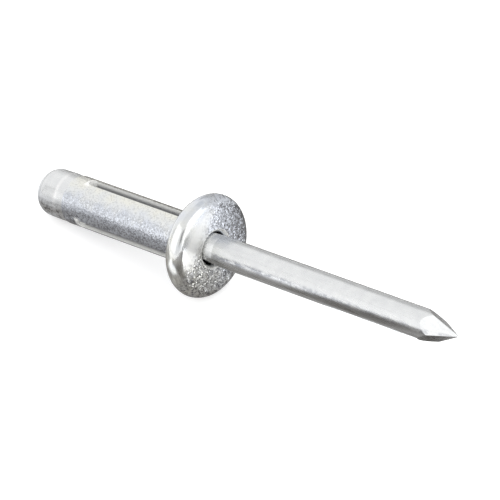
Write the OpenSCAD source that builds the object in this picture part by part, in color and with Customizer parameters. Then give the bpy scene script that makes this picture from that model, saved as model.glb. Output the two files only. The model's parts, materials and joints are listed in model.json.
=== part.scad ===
// Blind rivet with a three-slot folding sleeve, before it is set.
// Each piece is drawn along its own axis, with z = 0 on the seat under the head and +z towards
// the mandrel's point. The last module then lays both pieces down as the loose rivet lies.

/* [Sleeve] */
// Outer diameter of the sleeve
sleeve_d = 4.8; // [4.6:0.05:5.2]
// Thickness of the sleeve's wall
sleeve_wall = 0.75; // [0.6:0.01:0.9]
// Length of the sleeve, from the seat under the head to the tail edge
sleeve_len = 16.05; // [14:0.1:22]
// Chamfer round the outside of the tail edge
tail_chamfer = 0.08; // [0.05:0.01:0.25]

/* [Head] */
// Diameter of the flange head
head_d = 10.1; // [9:0.1:12]
// Radius of the head's rounded rim, which spans the rim's whole thickness
rim_r = 1; // [0.7:0.01:1.1]
// Height that the domed face rises above the rim
crown_h = 0.3; // [0.1:0.01:0.5]
// Chamfer at the mouth of the bore
mouth_chamfer = 0.3; // [0.05:0.01:0.35]
// Fillet between the sleeve and the seat under the head
seat_fillet = 0.15; // [0.05:0.01:0.3]

/* [Slots] */
// Number of slots, which is also the number of legs that fold out
slot_count = 3; // [3:1:4]
// Width of each slot
slot_w = 0.95; // [0.6:0.01:1.2]
// Solid sleeve between the head and the slots
slot_head_gap = 1.5; // [0.8:0.1:2.5]
// Solid ring between the slots and the tail edge
slot_tail_gap = 1.8; // [1.2:0.1:3]
// Turn of the slots about the axis, from the side that the rivet lies on
slot_turn = 56; // [0:1:119]

/* [Mandrel] */
// Clearance all round between the mandrel and the bore
mandrel_gap = 0.175; // [0.1:0.005:0.25]
// Length of the mandrel that stands out of the head
mandrel_out = 29.8; // [27:0.1:40]
// Angle between the axis and the two flats of the point that are in line with the crimp's bulges
point_main_angle = 22.5; // [16:0.5:28]
// Angle between the axis and the two flats of the point that lie between those
point_side_angle = 19.5; // [16:0.5:30]
// Width of the blunt end of the point
point_blunt = 0.1; // [0.05:0.01:0.3]
// Turn of the point and of the crimp about the axis, from the side that the rivet lies on
mandrel_turn = 48; // [0:1:89]

/* [Mandrel head] */
// Step in from the sleeve's outside to the mandrel head's widest part, measured on the radius
plug_step = 0.04; // [0.02:0.01:0.2]
// Length of the mandrel head
plug_len = 4.2; // [3:0.1:5.2]
// Length of the shoulder that narrows towards the sleeve
shoulder_len = 1.1; // [0.5:0.1:1.5]
// Step in that the shoulder makes, measured on the radius
shoulder_step = 0.06; // [0.02:0.01:0.15]
// Angle by which the mandrel head's side leans in towards its end
plug_lean_angle = 1; // [0.5:0.5:5]
// Radius of the rounding round the mandrel head's end
plug_round = 1.6; // [0.4:0.05:1.7]

/* [Break neck] */
// Diameter of the neck at which the mandrel breaks off
neck_d = 2.1; // [1.8:0.05:2.3]
// Length of the neck's waist
neck_len = 0.3; // [0.1:0.05:0.6]
// Distance from the mandrel head to the neck
neck_setback = 0.7; // [0.5:0.1:1.2]

/* [Retaining crimp] */
// Clearance between the crimp's bulges and the bore
crimp_gap = 0.02; // [0.01:0.005:0.05]
// Length over which a bulge has its full height
bulge_len = 0.4; // [0.2:0.05:1.2]
// Length of the slope at each end of a bulge
bulge_slope = 0.78; // [0.2:0.01:1]
// Distance from the crown of the head down to the middle of the crimp
crimp_sink = 0.25; // [0:0.05:0.5]
// Depth of each of the two jaw marks that part the bulges
pinch_depth = 0.14; // [0.1:0.01:0.4]
// Radius of the round jaws
pinch_r = 3; // [1:0.1:4]

/* [Hidden] */
$fn = 96;
over = 1;
sleeve_r = sleeve_d / 2;
bore_r = sleeve_r - sleeve_wall;
mandrel_r = bore_r - mandrel_gap;
head_r = head_d / 2;
head_h = 2 * rim_r + crown_h;
rim_x = head_r - rim_r;
crown_r = (pow(rim_x, 2) + pow(head_h - rim_r, 2) - pow(rim_r, 2)) / (2 * crown_h);
tip_z = head_h + mandrel_out;
tail_z = -sleeve_len - plug_len;
slot_len = sleeve_len - slot_head_gap - slot_tail_gap;
plug_r = sleeve_r - plug_step;
plug_end_r = plug_r - (plug_len - shoulder_len) * tan(plug_lean_angle);
round_x = plug_end_r + plug_round * tan(plug_lean_angle) - plug_round / cos(plug_lean_angle);
round_z = tail_z + plug_round;
bulge_r = bore_r - crimp_gap;
crimp_z = head_h - crimp_sink;

// The loose rivet lies on the head's rim and on its tail, with the point in the air. It turns
// about the rim's circle until the mandrel head's rounding or the sleeve's edge comes down.
lie_angle = min(
    lie_at(round_x, round_z, plug_round),
    lie_at(sleeve_r, -sleeve_len + tail_chamfer, 0)
);
lie_height = rim_r + rim_x * cos(lie_angle) - rim_r * sin(lie_angle);
blunt_reach = point_blunt / 2 * (abs(cos(mandrel_turn)) + abs(sin(mandrel_turn)));
far_x = tip_z * cos(lie_angle) + blunt_reach * sin(lie_angle);
near_x = round_z * cos(lie_angle) - round_x * sin(lie_angle) - plug_round;
lie_shift = -(far_x + near_x) / 2;

// Angle of the axis when the rim's circle and a circle of radius r, at radius x and height z,
// both touch the surface
function lie_at(x, z, r) =
    atan2(rim_x - x, rim_r - z) + asin((rim_r - r) / norm([rim_x - x, rim_r - z]));

// Sleeve with its flange head, formed in one piece
module rivet_body() {
    color("silver")
    lay_down()
    rotate([0, 0, slot_turn])
    difference() {
        union() {
            rotate_extrude() head_profile();
            rotate_extrude() shank_profile();
        }
        translate([0, 0, -sleeve_len - over])
        cylinder(r = bore_r, h = sleeve_len + head_h + 2 * over);
        translate([0, 0, face_z(bore_r) - mouth_chamfer])
        cylinder(r1 = bore_r, r2 = bore_r + mouth_chamfer + over, h = mouth_chamfer + over);
        for (i = [0:slot_count - 1])
            rotate([0, 0, i * 360 / slot_count]) slot();
    }
}

// Half section of the head: flat seat, round rim and low dome
module head_profile() {
    square([rim_x, 2 * rim_r]);
    translate([rim_x, rim_r]) circle(r = rim_r);
    intersection() {
        translate([0, head_h - crown_r]) circle(r = crown_r, $fn = 1440);
        translate([0, rim_r]) square([rim_x + rim_lean(), head_h]);
    }
}

// Half section of the shank, with a chamfered tail edge and a filleted root
module shank_profile() {
    translate([0, -sleeve_len + tail_chamfer])
    square([sleeve_r, sleeve_len - tail_chamfer]);
    polygon([
        [0, -sleeve_len],
        [sleeve_r - tail_chamfer, -sleeve_len],
        [sleeve_r, -sleeve_len + tail_chamfer],
        [0, -sleeve_len + tail_chamfer]
    ]);
    difference() {
        translate([sleeve_r - over, -seat_fillet]) square([over + seat_fillet, seat_fillet]);
        translate([sleeve_r + seat_fillet, -seat_fillet]) circle(r = seat_fillet);
    }
}

// Height of the domed face at radius r
function face_z(r) = head_h - crown_r + sqrt(pow(crown_r, 2) - pow(r, 2));

// How far past the rim's centre the dome touches the rim's circle
function rim_lean() = rim_r * rim_x / (crown_r - rim_r);

// One slot with round ends, cut from the axis outwards along +x
module slot() {
    translate([0, -slot_w / 2, -slot_head_gap - slot_len + slot_w / 2])
    cube([sleeve_d, slot_w, slot_len - slot_w]);
    for (z = [-slot_head_gap - slot_w / 2, -slot_head_gap - slot_len + slot_w / 2])
        translate([0, 0, z]) rotate([0, 90, 0]) cylinder(d = slot_w, h = sleeve_d);
}

// Mandrel with its head, break neck, retaining crimp and four-sided point
module mandrel() {
    color("gainsboro")
    lay_down()
    rotate([0, 0, mandrel_turn])
    difference() {
        union() {
            translate([0, 0, round_z]) cylinder(r = mandrel_r, h = tip_z - round_z);
            rotate_extrude() plug_profile();
            rotate_extrude() bulge_profile();
        }
        rotate_extrude() neck_profile();
        jaw_marks();
        point_cuts();
    }
}

// Half section of the mandrel head: flat seat, narrowed shoulder, side leaning in, round end
module plug_profile() {
    polygon([
        [0, -sleeve_len],
        [plug_r - shoulder_step, -sleeve_len],
        [plug_r, -sleeve_len - shoulder_len],
        [round_x + plug_round * cos(plug_lean_angle), round_z - plug_round * sin(plug_lean_angle)],
        [round_x, tail_z],
        [0, tail_z]
    ]);
    intersection() {
        translate([round_x, round_z]) circle(r = plug_round);
        translate([0, tail_z]) square([plug_r, plug_len]);
    }
}

// Half section of the groove that leaves the break neck
module neck_profile() {
    depth = mandrel_r - neck_d / 2;
    bottom = -sleeve_len + neck_setback;
    polygon([
        [neck_d / 2, bottom + depth],
        [neck_d / 2, bottom + depth + neck_len],
        [mandrel_r + depth, bottom + 3 * depth + neck_len],
        [mandrel_r + depth, bottom - depth]
    ]);
}

// Half section of the ring that the crimp raises until it meets the bore. Its slopes run on
// inside the shaft as far as they rise outside it.
module bulge_profile() {
    root_r = 2 * mandrel_r - bulge_r;
    top = bulge_len / 2;
    root = top + 2 * bulge_slope;
    polygon([
        [0, crimp_z - root],
        [root_r, crimp_z - root],
        [bulge_r, crimp_z - top],
        [bulge_r, crimp_z + top],
        [root_r, crimp_z + root],
        [0, crimp_z + root]
    ]);
}

// Marks of the two round jaws, which part the ring into two bulges
module jaw_marks() {
    for (side = [-1, 1])
        translate([0, side * (mandrel_r - pinch_depth + pinch_r), crimp_z])
        rotate([0, 90, 0]) cylinder(r = pinch_r, h = sleeve_d, center = true);
}

// Flats that leave the point
module point_cuts() {
    for (turn = [0, 180]) rotate([0, 0, turn]) flat_cut(point_main_angle);
    for (turn = [90, 270]) rotate([0, 0, turn]) flat_cut(point_side_angle);
}

// Cut of one flat that leans at the given angle, on the +x side
module flat_cut(angle) {
    reach = 2 * mandrel_r / sin(angle);
    translate([point_blunt / 2, 0, tip_z])
    rotate([0, -angle, 0])
    translate([0, -2 * mandrel_r, -reach])
    cube([2 * mandrel_r, 4 * mandrel_r, reach + over]);
}

// Lays the pieces on the surface z = 0, with the point towards +x and the middle at the origin
module lay_down() {
    translate([lie_shift, 0, lie_height])
    rotate([0, 90 - lie_angle, 0])
    children();
}

rivet_body();
mandrel();
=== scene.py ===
# Blind rivet lying on a white studio floor, seen from above its point.
import json
import math
from types import SimpleNamespace

import bpy
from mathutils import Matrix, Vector

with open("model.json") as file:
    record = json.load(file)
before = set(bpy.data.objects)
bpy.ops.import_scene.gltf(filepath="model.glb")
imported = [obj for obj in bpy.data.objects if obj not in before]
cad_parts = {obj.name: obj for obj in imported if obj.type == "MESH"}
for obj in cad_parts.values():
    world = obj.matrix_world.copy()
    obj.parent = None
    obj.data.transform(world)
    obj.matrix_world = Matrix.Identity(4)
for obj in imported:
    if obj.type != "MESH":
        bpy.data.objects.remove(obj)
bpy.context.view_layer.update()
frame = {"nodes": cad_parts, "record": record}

MM = 0.001
WHITE = (1, 1, 1, 1)

# The rivet's axis and the middle of its seat, which lie in the plane y = 0. Axis space is
# measured from that middle, with X along the axis towards the point.
mounts = {m["name"]: m for m in frame["record"]["mounts"]}
AXIS = Vector(mounts["mandrel_grip"]["axis"])
SEAT = Vector(mounts["seat"]["pos_m"]) * Vector((1, 0, 1))
TILT = math.asin(AXIS.z)


def points(node):
    """Place along the axis and radius of each point of a CAD node, in millimetres."""
    for vertex in frame["nodes"][node].data.vertices:
        place = (vertex.co - SEAT) / MM
        along = place.dot(AXIS)
        yield along, (place - AXIS * along).length


# Sizes that the marks on the metal follow, in millimetres. Places are along the axis.
BORE_R = min(radius for along, radius in points("rivet_body"))
HEAD_R = max(radius for along, radius in points("rivet_body"))
SLEEVE_END = min(along for along, radius in points("rivet_body"))
TAIL_END = min(along for along, radius in points("mandrel"))
SLOT_START = -1.5
SLOT_END = SLEEVE_END + 1.8
SHOULDER_EDGE = SLEEVE_END - 1.1
RING_LINE = TAIL_END + 1.05

# Borders of the plating's areas. Two numbers say where a change starts and is complete, and
# four say where a band starts, is full, begins to fade and ends. HEAD, CELLS and SLOT_TAIL
# are places along the axis, GRAIN is across the head's face, and the others are radii.
HEAD_BORDER = (-0.1, 0.3)
CELLS_BORDER = (-0.1, 0)
# Where the painted highlight at the slots' tail ends lies
SLOT_TAIL = (SLOT_END - 0.25, SLOT_END - 0.1, SLOT_END + 0.35, SLOT_END + 0.55)
GRAIN_BORDER = (-2.9, -1.6)
RIM_BORDER = (HEAD_R - 1.55, HEAD_R - 0.75)
# Where the painted highlight on the grain-free side of the head's face starts, from the rim inwards
FACE_HIGHLIGHT_BORDER = (HEAD_R - 0.85, HEAD_R - 1.65)
# Where the painted shade deep in the slot walls gives way to their own colour
WALL_SHADE_BORDER = (BORE_R + 0.3, BORE_R + 0.55)
# Ring of painted highlight round the bore's mouth
MOUTH_HIGHLIGHT_RING = (BORE_R + 0.03, BORE_R + 0.13, BORE_R + 0.29, BORE_R + 0.37)

# Borders of the marks, the painted highlight and the painted shade line on the mandrel, along the
# axis
PITS_BORDER = (SLEEVE_END - 0.25, SLEEVE_END - 0.55)
STREAK_BORDER = (2.5, 3.5)
STREAK_FADE = (6, 20)
# Band of painted highlight at the plug's shoulder
SHOULDER_HIGHLIGHT_BAND = (SHOULDER_EDGE - 0.2, SHOULDER_EDGE, SHOULDER_EDGE + 0.15, SHOULDER_EDGE + 0.35)
# Band of painted shade near the tail end
RING_SHADE_BAND = (RING_LINE - 0.1, RING_LINE, RING_LINE + 0.05, RING_LINE + 0.15)

# Directions in axis space, outwards from the axis. A slot's turn is counted in degrees from
# the side that the rivet lies on.
SLOT_TURNS = (56, 176, 296)
SLOTS = [(0, math.sin(math.radians(turn)), -math.cos(math.radians(turn))) for turn in SLOT_TURNS]
UNDERSIDE = (0, -0.1, -1)
# Sides where a painted warm light tints the plating straw, on the sleeve and on the head
WARM_LIT_SIDE = (0, 0.61, 0.79)
WARM_LIT_SIDE_OF_HEAD = (0, -0.9, -0.44)
GRAINY_SIDE = (0, 0.79, -0.62)
UP_IN_VIEW = (0, 0.66, 0.75)
PITTED_SIDE = (0, -0.5, -0.87)

# Zinc plating of the sleeve and its head
STRAW = (0.76, 0.756, 0.704, 1)
BLUISH = (0.664, 0.692, 0.744, 1)
SPECK = (0.16, 0.16, 0.176, 1)
# Colour of painted highlights, on the head's face and at the slots' tail ends
PAINTED_HIGHLIGHT = (0.95, 0.95, 0.93, 1)
# Painted highlight round the bore's mouth
MOUTH_HIGHLIGHT = (0.9, 0.9, 0.87, 1)
# Slot walls: painted shade deep inside, their own light colour towards the outside
CUT_PAINTED_SHADE = (0.3, 0.3, 0.31, 1)
CUT_OUTSIDE = (0.86, 0.86, 0.84, 1)
CELLS_PER_METRE = 7200
BUMP_DEPTH = 0.06
PLATING_ROUGHNESS = 0.2
LEAST_ROUGHNESS = 0.15
RIM_SMOOTHER = 0.22
CUT_ROUGHER = 0.25

# Drawn steel of the mandrel
STEEL_DARK = (0.672, 0.68, 0.688, 1)
STEEL_LIGHT = (0.736, 0.744, 0.744, 1)
PIT = (0.12, 0.112, 0.112, 1)
# Dark streaks along the shaft, in a band below its middle
LOW_STREAK = (0.22, 0.23, 0.27, 1)
# Painted highlight at the plug's shoulder, weaker on its lower side
SHOULDER_HIGHLIGHT = (0.8, 0.8, 0.8, 1)
# Painted shade line near the tail end
RING_SHADE = (0.32, 0.32, 0.32, 1)
LINE_DEPTH = 0.016
LINE_STRENGTH = 0.3


class Value:
    """Number, colour or direction that a material works out, for use in sums."""

    def __init__(self, shader, socket):
        self.shader = shader
        self.socket = socket

    def __add__(self, other):
        return self.shader.math("ADD", self, other)

    def __sub__(self, other):
        return self.shader.math("SUBTRACT", self, other)

    def __rsub__(self, other):
        return self.shader.math("SUBTRACT", other, self)

    def __mul__(self, other):
        return self.shader.math("MULTIPLY", self, other)


class Shader:
    """Small helper round one material's node tree."""

    def __init__(self, name):
        self.material = bpy.data.materials.new(name)
        self.material.use_nodes = True
        self.tree = self.material.node_tree
        self.tree.nodes.clear()

    def node(self, kind, inputs=None, **settings):
        """New node, with its settings made and its inputs fed by name or number."""
        node = self.tree.nodes.new(kind)
        for key, setting in settings.items():
            setattr(node, key, setting)
        for key, value in (inputs or {}).items():
            if isinstance(value, Value):
                self.tree.links.new(value.socket, node.inputs[key])
            else:
                node.inputs[key].default_value = value
        return node

    def value(self, kind, inputs=None, output=0, **settings):
        """One output of a new node."""
        return Value(self, self.node(kind, inputs, **settings).outputs[output])

    def finish(self, surface):
        """Gives the material its surface."""
        self.node("ShaderNodeOutputMaterial", {"Surface": surface})
        return self.material

    def math(self, operation, a, b=0):
        return self.value("ShaderNodeMath", {0: a, 1: b}, operation=operation)

    def most(self, a, b):
        """The greater of two numbers."""
        return self.math("MAXIMUM", a, b)

    def mix(self, factor, a, b):
        """Colour that goes from a to b while the factor goes from 0 to 1."""
        return self.value("ShaderNodeMix", {"Factor": factor, 6: a, 7: b}, 2, data_type="RGBA")

    def ramp(self, value, start, end, low=0, high=1):
        """Goes from low to high while the value goes from start to end, and stays level outside."""
        return self.value("ShaderNodeMapRange", {0: value, 1: start, 2: end, 3: low, 4: high})

    def band(self, value, start, rise, fall, end):
        """1 where the value is between rise and fall, fading to 0 at start and end."""
        return self.ramp(value, start, rise) * self.ramp(value, end, fall)

    def patch(self, x, y, box, soft, level):
        """The level inside a box of left, right, near and far edges, fading to 0 across them."""
        left, right, near, far = box
        across = self.band(x, left - soft, left + soft, right - soft, right + soft)
        along = self.band(y, near - soft, near + soft, far - soft, far + soft)
        return across * along * level

    def noise(self, vector, scale, detail, roughness=0.5):
        inputs = {"Vector": vector, "Scale": scale, "Detail": detail, "Roughness": roughness}
        return self.value("ShaderNodeTexNoise", inputs)

    def glow(self, colour, strength):
        return self.value("ShaderNodeEmission", {"Color": colour, "Strength": strength})

    def bump(self, height, strength, distance):
        inputs = {"Strength": strength, "Distance": distance * MM, "Height": height}
        return self.value("ShaderNodeBump", inputs)

    def vector(self, operation, a, b=None):
        inputs = {0: a} if b is None else {0: a, 1: b}
        return self.value("ShaderNodeVectorMath", inputs, operation=operation)

    def scaled(self, vector, factor):
        inputs = {0: vector, "Scale": factor}
        return self.value("ShaderNodeVectorMath", inputs, operation="SCALE")

    def dot(self, a, b):
        return self.value("ShaderNodeVectorMath", {0: a, 1: b}, "Value", operation="DOT_PRODUCT")

    def length(self, vector):
        return self.value("ShaderNodeVectorMath", {0: vector}, "Value", operation="LENGTH")

    def parts(self, vector):
        """The three numbers of a vector."""
        split = self.node("ShaderNodeSeparateXYZ", {0: vector})
        return [Value(self, part) for part in split.outputs]

    def axis_space(self, stretch=(1, 1, 1)):
        """Place in axis space, in metres. The stretch comes first, and under 1 it draws marks out."""
        place = self.value("ShaderNodeTexCoord", output="Object")
        from_seat = self.vector("SUBTRACT", place, SEAT)
        inputs = {"Vector": from_seat, "Rotation": (0, TILT, 0), "Scale": stretch}
        return self.value("ShaderNodeMapping", inputs)

    def around(self, place):
        """Place along the axis and radius, in millimetres, and the direction outwards."""
        along, y, z = self.parts(place)
        across = self.value("ShaderNodeCombineXYZ", {1: y, 2: z})
        return along * (1 / MM), self.length(across) * (1 / MM), self.vector("NORMALIZE", across)

    def cut_faces(self, along, outward):
        """1 on the sleeve's faces that don't look outwards, which are the walls of its slots."""
        normal = self.value("ShaderNodeNewGeometry", output="True Normal")
        inputs = {"Vector": normal, "Rotation": (0, TILT, 0)}
        turned = self.value("ShaderNodeVectorRotate", inputs, rotation_type="EULER_XYZ")
        sideways = self.math("LESS_THAN", self.math("ABSOLUTE", self.dot(outward, turned)), 0.7)
        return sideways * self.math("LESS_THAN", along, SLOT_START + 0.3)

    def facets(self, colour, tilt, normal):
        """The given normal, tilted at random from cell to cell."""
        centred = self.vector("SUBTRACT", colour, (0.5, 0.5, 0.5))
        return self.vector("NORMALIZE", self.vector("ADD", self.scaled(centred, tilt), normal))


def plating_places(s):
    """Where the plating's looks change. Each area goes from 0 outside it to 1 inside it."""
    place = s.axis_space()
    along, radius, outward = s.around(place)
    on_head = s.ramp(along, *HEAD_BORDER)
    face_grain = s.ramp(s.dot(outward, GRAINY_SIDE) * radius, *GRAIN_BORDER, low=0.08)
    grainy = s.most(face_grain, 1 - on_head)
    near_slot = s.dot(outward, SLOTS[0])
    for slot in SLOTS[1:]:
        near_slot = s.most(near_slot, s.dot(outward, slot))
    return SimpleNamespace(
        place=place,
        along=along,
        radius=radius,
        outward=outward,
        on_head=on_head,
        on_rim=on_head * s.ramp(radius, *RIM_BORDER),
        grainy=grainy,
        below=s.ramp(s.dot(outward, UNDERSIDE), -0.5, 0.4),
        # A painted highlight, pale on the grain-free side of the head's face
        face_highlight=(1 - grainy) * on_head * s.ramp(radius, *FACE_HIGHLIGHT_BORDER),
        # A painted highlight round the bore's mouth
        mouth_highlight=s.band(radius, *MOUTH_HIGHLIGHT_RING) * on_head,
        # A painted highlight at the slots' tail ends
        slot_end_highlight=s.band(along, *SLOT_TAIL) * s.ramp(near_slot, 0.94, 0.975),
        cut=s.cut_faces(along, outward),
    )


def by_part(s, at, sleeve, head):
    """A number that has one value on the sleeve and another on the head."""
    return s.ramp(at.on_head, 0, 1, sleeve, head)


def plating_cells(s, at):
    """Random colour of each small crystal. The crystals on the sleeve are a little finer."""
    finer = s.ramp(at.along, *CELLS_BORDER, low=1.15, high=1)
    inputs = {"Vector": s.scaled(at.place, finer), "Scale": CELLS_PER_METRE}
    return s.value("ShaderNodeTexVoronoi", inputs, "Color")


def plating_tint(s, at):
    """Painted tint of light: straw on one side of the sleeve and of the head and bluish on the other,
    with soft random patches of both.
    """
    # Which side is straw and which is bluish is painted light; the noise patches are the plating's
    # own tone
    side = s.dot(at.outward, WARM_LIT_SIDE) * (1 - at.on_head)
    side_of_head = s.dot(at.outward, WARM_LIT_SIDE_OF_HEAD) * 0.4 + 0.15
    patches = s.ramp(s.noise(at.place, scale=700, detail=2), 0.3, 0.7, low=-0.25, high=0.25)
    side = side + side_of_head * at.on_head + patches
    return s.mix(s.ramp(side, -0.1, 0.7), BLUISH, STRAW)


def plating_colour(s, at, cells):
    """The tint with dark grain specks, denser and darker below as painted shade, then the painted
    highlights and the painted shade in the slots.
    """
    first = s.value("ShaderNodeSeparateColor", {0: cells})
    # Below, the grain's specks are made denser and darker as painted shade
    speck = first - at.below * by_part(s, at, sleeve=0.2, head=0.07)
    depth = by_part(s, at, sleeve=0.2, head=0.55) + at.below * by_part(s, at, sleeve=0.7, head=0.3)
    dark = s.ramp(speck, 0.05, 0.45, low=1, high=0) * (depth * at.grainy)
    # Painted highlight on the grain-free side of the head's face
    colour = s.mix(at.face_highlight * 0.7, plating_tint(s, at), PAINTED_HIGHLIGHT)
    colour = s.mix(dark, colour, SPECK)
    # Painted highlight round the bore's mouth
    colour = s.mix(at.mouth_highlight * 0.8, colour, MOUTH_HIGHLIGHT)
    # Slot walls darken inwards as painted shade
    shaded_wall = s.mix(s.ramp(at.radius, *WALL_SHADE_BORDER), CUT_PAINTED_SHADE, CUT_OUTSIDE)
    colour = s.mix(at.cut, colour, shaded_wall)
    # Painted highlight at the slots' tail ends
    return s.mix(at.slot_end_highlight * 0.85, colour, PAINTED_HIGHLIGHT)


def plating_normal(s, at, cells):
    """Small bumps, and facets that lean more below."""
    grain = s.noise(at.place, scale=3500, detail=2, roughness=0.6)
    height = grain * (by_part(s, at, sleeve=0.6, head=0.8) * at.grainy)
    lean = by_part(s, at, sleeve=0.1, head=0.27) + at.below * by_part(s, at, sleeve=0.15, head=0.32)
    return s.facets(cells, lean * at.grainy, s.bump(height, 1, BUMP_DEPTH))


def sleeve_plating():
    """Zinc plating: pale grey with a frosty grain, which is missing on one side of the head's face;
    that side has a painted highlight.
    """
    s = Shader("sleeve_plating")
    at = plating_places(s)
    cells = plating_cells(s, at)
    dull_face = at.on_head * s.ramp(at.grainy, 0, 1, low=0.2, high=0.04)
    roughness = dull_face + at.on_rim * -RIM_SMOOTHER + PLATING_ROUGHNESS
    # Less metallic where highlights are painted, so that their pale colour shows
    painted_highlight_spots = at.face_highlight * 0.25 + at.mouth_highlight * 0.6 + at.slot_end_highlight * 0.6
    return s.finish(s.value("ShaderNodeBsdfPrincipled", {
        "Base Color": plating_colour(s, at, cells),
        "Metallic": s.ramp(at.cut, 0, 1, low=0.96, high=0.15) - painted_highlight_spots,
        "Roughness": s.most(roughness, LEAST_ROUGHNESS) + at.cut * CUT_ROUGHER,
        "Normal": plating_normal(s, at, cells),
    }))


def steel_colour(s):
    """Cloudy grey, with pits low on the tail head, dark streaks along the shaft, a painted highlight
    at the shoulder and a painted shade line near the tail end.
    """
    place = s.axis_space()
    along, _, outward = s.around(place)
    cloud = s.noise(place, scale=900, detail=3)
    colour = s.mix(s.ramp(cloud, 0.3, 0.7), STEEL_DARK, STEEL_LIGHT)

    low = s.ramp(s.dot(outward, PITTED_SIDE), 0.2, 0.7)
    pitted = s.ramp(along, *PITS_BORDER) * low
    pits = s.ramp(s.noise(place, scale=3500, detail=2, roughness=0.6), 0.52, 0.44)
    colour = s.mix(pits * pitted * 0.75, colour, PIT)

    # Dark streaks along the shaft, in a band below its middle as seen, fading towards the point
    low_streaks = s.band(s.dot(outward, UP_IN_VIEW), -0.78, -0.54, -0.46, -0.3)
    low_streaks = low_streaks * s.ramp(along, *STREAK_BORDER) * s.ramp(along, *STREAK_FADE, low=0.65, high=0.4)
    marks = s.noise(s.axis_space((0.6, 1, 1)), scale=2300, detail=3, roughness=0.7)
    colour = s.mix(s.ramp(marks, 0.56, 0.42) * low_streaks, colour, LOW_STREAK)

    # Painted highlight at the plug's shoulder, weaker on its lower side
    shoulder_highlight = s.band(along, *SHOULDER_HIGHLIGHT_BAND) * s.ramp(low, 0, 1, low=0.9, high=0.4)
    colour = s.mix(shoulder_highlight, colour, SHOULDER_HIGHLIGHT)
    # Painted shade line near the tail end
    return s.mix(s.band(along, *RING_SHADE_BAND) * 0.5, colour, RING_SHADE)


def mandrel_steel():
    """Drawn steel wire: smooth, with faint lines along the axis."""
    s = Shader("mandrel_steel")
    lines = s.noise(s.axis_space((0.04, 1, 1)), scale=5000, detail=2)
    return s.finish(s.value("ShaderNodeBsdfPrincipled", {
        "Base Color": steel_colour(s),
        "Metallic": 1,
        "Roughness": s.ramp(lines, 0.3, 0.7, low=0.22, high=0.34),
        "Normal": s.bump(lines, LINE_STRENGTH, LINE_DEPTH),
    }))


def dress(node, material):
    """Gives a CAD node its material."""
    mesh = frame["nodes"][node].data
    for i in range(len(mesh.materials)):
        mesh.materials[i] = material
    if not mesh.materials:
        mesh.materials.append(material)


FLOOR_SIZE = 4
PAPER_DARK = (0.78, 0.78, 0.78, 1)
PAPER_LIGHT = (0.82, 0.82, 0.82, 1)
PAPER_GLOW = 0.5


def floor_paper():
    """White paper that keeps a soft shadow; seen directly or in metal it is white."""
    s = Shader("floor_paper")
    grain = s.noise(s.axis_space(), scale=3000, detail=2)
    paper = s.value("ShaderNodeBsdfDiffuse", {"Color": s.mix(grain, PAPER_DARK, PAPER_LIGHT)})
    rays = s.node("ShaderNodeLightPath").outputs
    seen = s.most(Value(s, rays["Is Camera Ray"]), Value(s, rays["Is Glossy Ray"]))
    seen = s.most(seen, Value(s, rays["Is Transmission Ray"]))
    both = s.value("ShaderNodeAddShader", {0: paper, 1: s.glow(WHITE, PAPER_GLOW)})
    return s.finish(s.value("ShaderNodeMixShader", {0: seen, 1: paper, 2: both}))


def set_floor():
    bpy.ops.mesh.primitive_plane_add(size=FLOOR_SIZE)
    floor = bpy.context.object
    floor.name = "studio_floor"
    floor.data.materials.append(floor_paper())


def set_world():
    world = bpy.data.worlds.new("studio")
    world.use_nodes = True
    tree = world.node_tree
    tree.nodes.clear()
    back = tree.nodes.new("ShaderNodeBackground")
    back.inputs["Color"].default_value = WHITE
    back.inputs["Strength"].default_value = 1
    out = tree.nodes.new("ShaderNodeOutputWorld")
    tree.links.new(back.outputs[0], out.inputs["Surface"])
    bpy.context.scene.world = world


# The camera looks down from above the point. Its azimuth is counted from -Y towards +X.
CAMERA_AZIMUTH = math.radians(42.74)
CAMERA_ELEVATION = math.radians(33.84)
CAMERA_DISTANCE = 398.5 * MM
CAMERA_AIM = Vector((0.734, 0, 7.053)) * MM
CLIP_START = 10 * MM
FOCAL_PIXELS = 4300
IMAGE_PIXELS = 500
SENSOR = 36


def set_camera():
    data = bpy.data.cameras.new("camera")
    data.sensor_width = SENSOR
    data.lens = SENSOR * FOCAL_PIXELS / IMAGE_PIXELS
    data.clip_start = CLIP_START
    camera = bpy.data.objects.new("camera", data)
    back = Vector((
        math.sin(CAMERA_AZIMUTH) * math.cos(CAMERA_ELEVATION),
        -math.cos(CAMERA_AZIMUTH) * math.cos(CAMERA_ELEVATION),
        math.sin(CAMERA_ELEVATION),
    ))
    camera.location = CAMERA_AIM + back * CAMERA_DISTANCE
    camera.rotation_euler = (-back).to_track_quat("-Z", "Y").to_euler()
    bpy.context.scene.collection.objects.link(camera)
    bpy.context.scene.camera = camera


SOFTBOX_DISTANCE = 600 * MM
CARD_DISTANCE = 300 * MM


def toward(azimuth, elevation):
    """Direction from the rivet, with the azimuth counted from +X towards +Y, in degrees."""
    a, e = math.radians(azimuth), math.radians(elevation)
    return Vector((math.cos(a) * math.cos(e), math.sin(a) * math.cos(e), math.sin(e)))


def softbox(name, azimuth, elevation, wide, high, radiance):
    """Area lamp that spans the given angles in degrees, turned towards the rivet."""
    lamp = bpy.data.lights.new(name, "AREA")
    lamp.shape = "RECTANGLE"
    lamp.size = 2 * SOFTBOX_DISTANCE * math.tan(math.radians(wide / 2))
    lamp.size_y = 2 * SOFTBOX_DISTANCE * math.tan(math.radians(high / 2))
    lamp.energy = radiance * math.pi * lamp.size * lamp.size_y
    obj = bpy.data.objects.new(name, lamp)
    obj.location = toward(azimuth, elevation) * SOFTBOX_DISTANCE
    obj.rotation_euler = toward(azimuth, elevation).to_track_quat("Z", "Y").to_euler()
    obj.visible_camera = False
    bpy.context.scene.collection.objects.link(obj)


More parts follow.
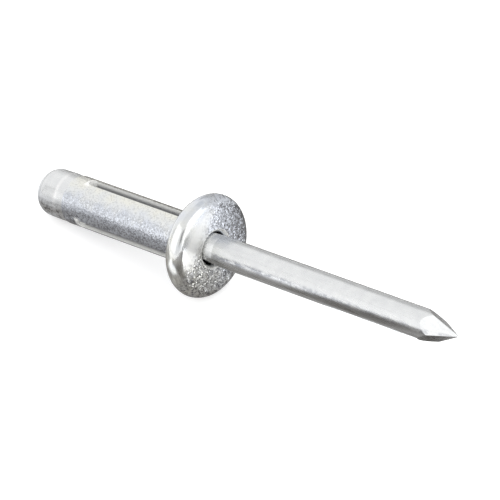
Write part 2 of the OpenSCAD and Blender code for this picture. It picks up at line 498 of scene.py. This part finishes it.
def reflector(material, centre, facing, width, height):
    """Card with its size in millimetres, named like its material, that only reflections show."""
    bpy.ops.mesh.primitive_plane_add(size=1, location=centre)
    card = bpy.context.object
    card.name = material.name
    card.rotation_euler = facing.to_track_quat("Z", "Y").to_euler()
    card.scale = (width * MM, height * MM, 1)
    card.data.materials.append(material)
    card.visible_camera = False
    card.visible_diffuse = False
    card.visible_shadow = False


def standing_card(material, azimuth, elevation, width, height):
    """Card that stands beside the rivet and faces it."""
    direction = toward(azimuth, elevation)
    reflector(material, direction * CARD_DISTANCE, -direction, width, height)


def plain_card(name, shade):
    """Card of one even shade."""
    s = Shader(name)
    return s.finish(s.glow((*shade, 1), 1))


def fading_card(name, near, middle, far):
    """Card whose level goes across its width from the near value to the far one by a middle one."""
    s = Shader(name)
    across = s.parts(s.value("ShaderNodeTexCoord", output="Generated"))[0]
    level = s.ramp(across, 0, 0.5, near, middle) + s.ramp(across, 0.5, 1, 0, far - middle)
    return s.finish(s.glow(WHITE, level))


# The card that lies under the rivet is a grey field. Behind the rivet it is lighter towards
# the point's end and darker further back. A patch on it has its left, right, near and far
# edges and half its border's width, in millimetres, and how much lighter it is.
LOW_CARD_MIDDLE = Vector((10, 15, 0.02)) * MM
LOW_CARD_WIDTH = 160
LOW_CARD_HEIGHT = 130
LOW_CARD_STRENGTH = 1.25
FIELD_GREY = 0.3
FIELD_REACH = 40
BEHIND_RIVET = (6, 9)
FIELD_WARM = (1, 0.94, 0.88, 1)
FIELD_COOL = (0.97, 0.98, 1, 1)

# Patches of the mottled field
FIELD_PATCHES = [
    # Under the head
    ((-10, 3, -7, 2), 2, -0.02),
    # Past the tail, and in front of it and of the sleeve
    ((-36, -25, -9, 2), 1, 0.1),
    ((-36, -12, -22, -9), 1, 0.11),
    # On both sides of the mandrel, close to the head
    ((2, 14, -16, -3), 1, -0.16),
    ((-2, 5, 1.5, 6), 1, 0.25),
    # Under the mandrel's end
    ((19, 25, -3, 3.5), 0.8, -0.22),
]

# Patches of even light on top of the field
LIGHT_PATCHES = [
    # In front of the head and the sleeve
    ((-12, 1, -21, -10.5), 1.5, 0.8),
    ((-15, -7, -33, -17), 3, 0.5),
    ((-30, -12, -54, -32), 2, 0.6),
    ((-12, -3, -54, -20), 1.5, 0.6),
    # Behind the mandrel, from the head to the point
    ((7.5, 18, 1.5, 12), 1, 2.4),
    ((19, 36, 4.5, 12), 0.8, 1.2),
    ((19, 30, 12, 16), 1, 0.6),
    # Past the tail, and past the point
    ((-80, -30, -20, 12), 3, 0.5),
    ((31, 70, 10, 34), 3, 0.5),
]


def low_card():
    """Shaded card under the rivet, which gives the metal's lower sides their tones."""
    s = Shader("low_card")
    place = s.value("ShaderNodeNewGeometry", output="Position")
    x, y, _ = s.parts(s.scaled(place, 1 / MM))
    slope = s.ramp(x, 0, FIELD_REACH, low=0.15, high=1.13) + s.ramp(y, 0, FIELD_REACH, high=-0.72)
    field = s.most(slope, -0.2) * s.ramp(y, *BEHIND_RIVET) + FIELD_GREY
    for box, soft, level in FIELD_PATCHES:
        field = field + s.patch(x, y, box, soft, level)
    mottle = s.noise(place, scale=450, detail=2)
    light = field * s.ramp(mottle, 0.3, 0.7, low=0.5, high=1.5)
    for box, soft, level in LIGHT_PATCHES:
        light = light + s.patch(x, y, box, soft, level)
    tint = s.mix(s.ramp(light, 0.1, 0.5), FIELD_WARM, FIELD_COOL)
    return s.finish(s.glow(tint, light * LOW_CARD_STRENGTH))


dress("rivet_body", sleeve_plating())
dress("mandrel", mandrel_steel())
set_floor()
set_world()
set_camera()

softbox("front_softbox", azimuth=-96, elevation=30, wide=68, high=52, radiance=0.5)
softbox("right_softbox", azimuth=13, elevation=20, wide=43, high=60, radiance=0.75)
softbox("left_softbox", azimuth=180, elevation=36, wide=60, high=72, radiance=0.125)

camera_shades = fading_card("camera_card", near=1.25, middle=0.12, far=1.25)
right_shades = fading_card("right_card", near=0.62, middle=0.78, far=0.94)
top_shade = plain_card("top_card", (0.82, 0.84, 0.87))
back_shade = plain_card("back_card", (0.62, 0.62, 0.62))
corner_shade = plain_card("corner_card", (0.62, 0.62, 0.62))
reflector(low_card(), LOW_CARD_MIDDLE, Vector((0, 0, 1)), LOW_CARD_WIDTH, LOW_CARD_HEIGHT)
standing_card(camera_shades, azimuth=-29, elevation=27, width=170, height=130)
standing_card(right_shades, azimuth=78, elevation=20, width=500, height=360)
standing_card(top_shade, azimuth=95, elevation=64, width=200, height=90)
standing_card(back_shade, azimuth=130, elevation=12, width=100, height=280)
standing_card(corner_shade, azimuth=-148, elevation=15, width=30, height=160)

bpy.context.scene.view_settings.view_transform = "Standard"
